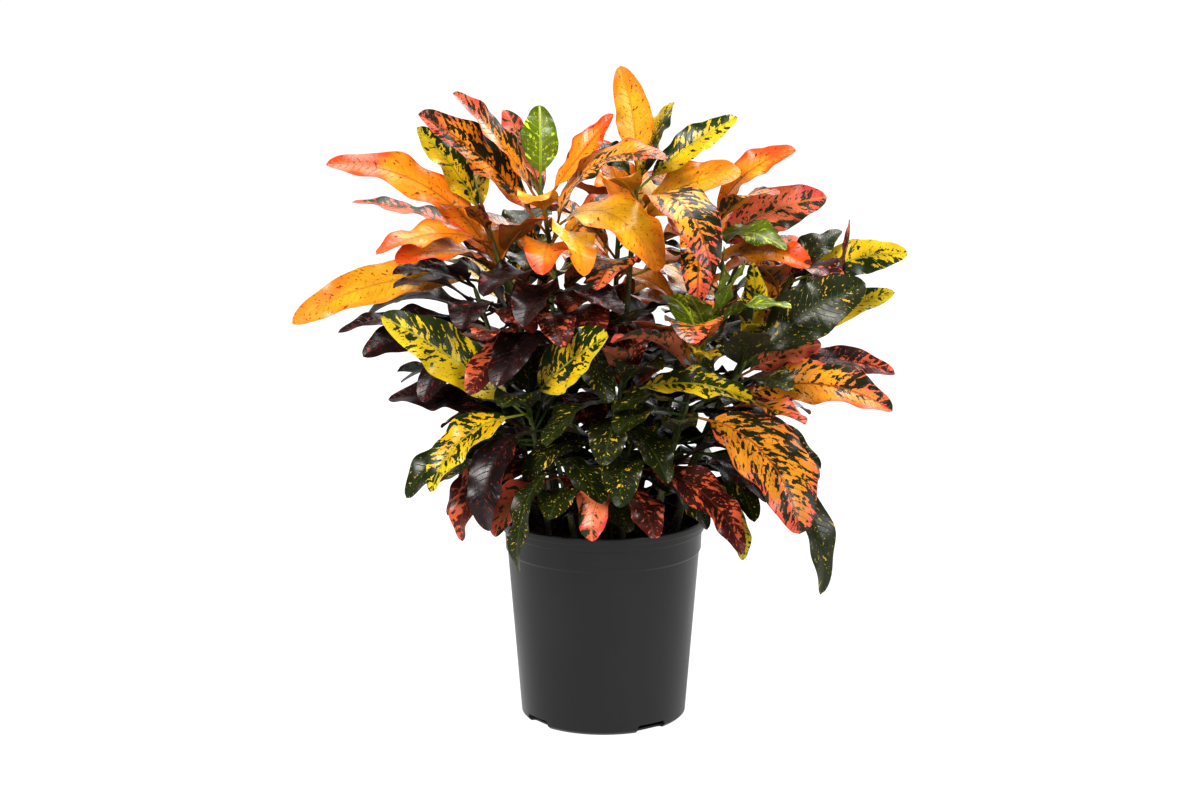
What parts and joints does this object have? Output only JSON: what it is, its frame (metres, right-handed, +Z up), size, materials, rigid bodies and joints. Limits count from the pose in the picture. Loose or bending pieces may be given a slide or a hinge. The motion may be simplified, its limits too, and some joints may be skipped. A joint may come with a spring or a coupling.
{
  "type": "potted croton",
  "caption": "Bushy variegated croton with waved, blotched leaves on upright stems, in a tapered nursery pot with a stepped rim and drainage notches.",
  "frame": {"origin": "centre of the pot's flat underside", "axes": "+Z up along the pot's axis, -Y the plant's front, +X to the viewer's right"},
  "size_m": [0.7228, 0.4988, 0.7825],
  "materials": {
    "pot_plastic": "satin black moulded polyethylene, faint scuffs",
    "potting_soil": "dark, crumbly bark and peat potting mix",
    "leaf_orange": "glossy leathery leaf, orange with yellow veins and dark specks",
    "leaf_yellow": "glossy leathery leaf, yellow with dark green blotches",
    "leaf_green": "glossy leathery leaf, dark green with small pink and yellow dots",
    "leaf_mixed": "glossy leathery leaf, green, orange and yellow blotches",
    "leaf_maroon": "glossy leathery leaf, near-black maroon with red streaks"
  },
  "bodies": {
    "root": {"pot": "pot_plastic", "soil": "potting_soil", "stem_left_front": "leaf_yellow", "stem_front": "leaf_green", "stem_right_low": "leaf_green", "stem_front_right": "leaf_green", "stem_front_left": "leaf_green", "stem_right": "leaf_mixed", "stem_left_top": "leaf_orange", "stem_crown_left": "leaf_orange", "stem_crown": "leaf_orange", "stem_crown_right": "leaf_orange", "stem_right_upper": "leaf_mixed", "stem_right_fresh": "leaf_mixed", "stem_left_dark": "leaf_maroon", "stem_centre_dark": "leaf_maroon", "stem_back_left": "leaf_mixed", "stem_back": "leaf_orange", "stem_back_right": "leaf_mixed", "stem_back_low_left": "leaf_green", "stem_back_low_right": "leaf_green"}
  },
  "joints": []
}
